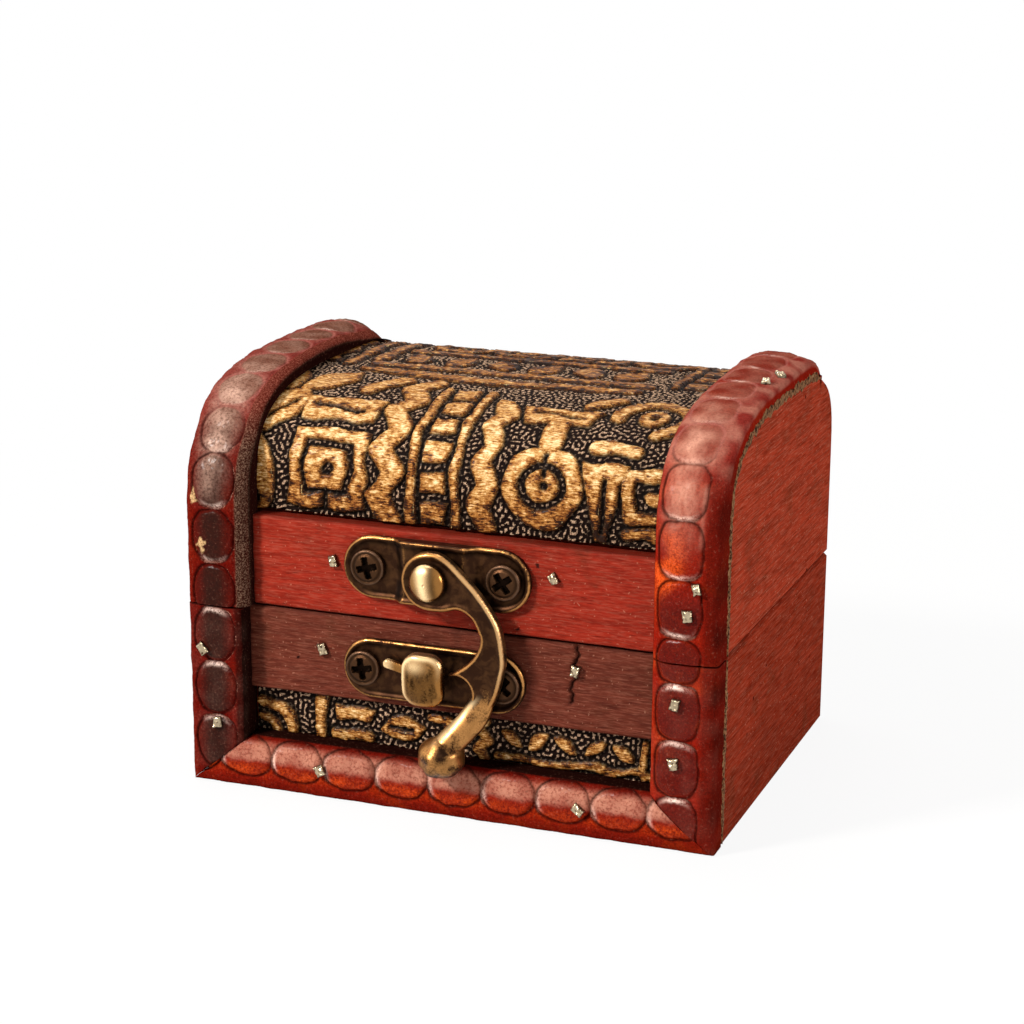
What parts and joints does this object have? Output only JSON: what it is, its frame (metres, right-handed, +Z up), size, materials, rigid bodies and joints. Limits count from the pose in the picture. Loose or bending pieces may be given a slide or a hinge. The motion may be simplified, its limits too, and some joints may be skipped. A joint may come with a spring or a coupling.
{
  "type": "wooden jewelry box",
  "caption": "Small chest-shaped wooden jewelry box with an arched hinged lid, carved red trims, embossed leather panels and a swing-hook latch.",
  "frame": {"origin": "centre of the flat underside that the box stands on", "axes": "+Z up, front and latch towards -Y, +X to the box's right as seen from the front"},
  "size_m": [0.085, 0.0734, 0.065],
  "materials": {
    "bottom_board": "matte brick red stain",
    "base_front_board": "matte brick red stain",
    "base_back_board": "matte brick red stain",
    "base_left_board": "matte brick red stain",
    "base_right_board": "matte brick red stain",
    "floor_lining": "felt",
    "base_front_leather": "dark embossed leather with gilded relief",
    "base_front_rail": "glossy red lacquer with worn edges",
    "base_trim_left": "glossy red lacquer with worn edges",
    "base_trim_right": "glossy red lacquer with worn edges",
    "bottom_trim": "glossy red lacquer with worn edges",
    "catch_plate": "antique patina with polished edges",
    "catch_post": "polished",
    "catch_screw_left": "blackened",
    "catch_screw_right": "blackened",
    "hinge_left_base_leaf": "antique patina with polished edges",
    "hinge_right_base_leaf": "antique patina with polished edges",
    "hinge_left_pin": "antique patina with polished edges",
    "hinge_right_pin": "antique patina with polished edges",
    "hinge_left_base_screw_1": "blackened",
    "hinge_left_base_screw_2": "blackened",
    "hinge_right_base_screw_1": "blackened",
    "hinge_right_base_screw_2": "blackened",
    "base_rail_brad_1": "polished",
    "base_rail_brad_2": "polished",
    "base_left_brad_1": "polished",
    "base_left_brad_2": "polished",
    "base_right_brad_1": "polished",
    "base_right_brad_2": "polished",
    "bottom_brad_1": "polished",
    "bottom_brad_2": "polished",
    "lid_left_end": "matte brick red stain",
    "lid_right_end": "matte brick red stain",
    "lid_front_board": "matte brick red stain",
    "lid_back_board": "matte brick red stain",
    "lid_top_panel": "matte brick red stain",
    "lid_leather": "dark embossed leather with gilded relief",
    "lid_front_rail": "glossy red lacquer with worn edges",
    "lid_trim_left": "glossy red lacquer with worn edges",
    "lid_trim_right": "glossy red lacquer with worn edges",
    "hook_plate": "antique patina with polished edges",
    "hook_rivet": "polished",
    "hook_screw_left": "blackened",
    "hook_screw_right": "blackened",
    "hinge_left_lid_leaf": "antique patina with polished edges",
    "hinge_right_lid_leaf": "antique patina with polished edges",
    "hinge_left_lid_screw_1": "blackened",
    "hinge_left_lid_screw_2": "blackened",
    "hinge_right_lid_screw_1": "blackened",
    "hinge_right_lid_screw_2": "blackened",
    "lid_rail_brad_1": "polished",
    "lid_rail_brad_2": "polished",
    "lid_right_brad_1": "polished",
    "lid_right_brad_2": "polished",
    "swing_hook": "antique patina with polished edges"
  },
  "bodies": {
    "base": {"bottom_board": "bottom_board", "base_front_board": "base_front_board", "base_back_board": "base_back_board", "base_left_board": "base_left_board", "base_right_board": "base_right_board", "floor_lining": "floor_lining", "base_front_leather": "base_front_leather", "base_front_rail": "base_front_rail", "base_trim_left": "base_trim_left", "base_trim_right": "base_trim_right", "bottom_trim": "bottom_trim", "catch_plate": "catch_plate", "catch_post": "catch_post", "catch_screw_left": "catch_screw_left", "catch_screw_right": "catch_screw_right", "hinge_left_base_leaf": "hinge_left_base_leaf", "hinge_right_base_leaf": "hinge_right_base_leaf", "hinge_left_pin": "hinge_left_pin", "hinge_right_pin": "hinge_right_pin", "hinge_left_base_screw_1": "hinge_left_base_screw_1", "hinge_left_base_screw_2": "hinge_left_base_screw_2", "hinge_right_base_screw_1": "hinge_right_base_screw_1", "hinge_right_base_screw_2": "hinge_right_base_screw_2", "base_rail_brad_1": "base_rail_brad_1", "base_rail_brad_2": "base_rail_brad_2", "base_left_brad_1": "base_left_brad_1", "base_left_brad_2": "base_left_brad_2", "base_right_brad_1": "base_right_brad_1", "base_right_brad_2": "base_right_brad_2", "bottom_brad_1": "bottom_brad_1", "bottom_brad_2": "bottom_brad_2"},
    "lid": {"lid_left_end": "lid_left_end", "lid_right_end": "lid_right_end", "lid_front_board": "lid_front_board", "lid_back_board": "lid_back_board", "lid_top_panel": "lid_top_panel", "lid_leather": "lid_leather", "lid_front_rail": "lid_front_rail", "lid_trim_left": "lid_trim_left", "lid_trim_right": "lid_trim_right", "hook_plate": "hook_plate", "hook_rivet": "hook_rivet", "hook_screw_left": "hook_screw_left", "hook_screw_right": "hook_screw_right", "hinge_left_lid_leaf": "hinge_left_lid_leaf", "hinge_right_lid_leaf": "hinge_right_lid_leaf", "hinge_left_lid_screw_1": "hinge_left_lid_screw_1", "hinge_left_lid_screw_2": "hinge_left_lid_screw_2", "hinge_right_lid_screw_1": "hinge_right_lid_screw_1", "hinge_right_lid_screw_2": "hinge_right_lid_screw_2", "lid_rail_brad_1": "lid_rail_brad_1", "lid_rail_brad_2": "lid_rail_brad_2", "lid_right_brad_1": "lid_right_brad_1", "lid_right_brad_2": "lid_right_brad_2"},
    "hook": {"swing_hook": "swing_hook"}
  },
  "joints": [
    {"name": "lid_hinge", "type": "hinge", "parent": "base", "child": "lid", "pos_m": [0, 0.0343, 0.0291], "axis": [-1, 0, 0], "range_deg": [0, 105]},
    {"name": "hook_pivot", "type": "hinge", "parent": "lid", "child": "hook", "pos_m": [-0.00175, -0.03245, 0.0372], "axis": [0, -1, 0], "range_deg": [-15, 120]}
  ]
}
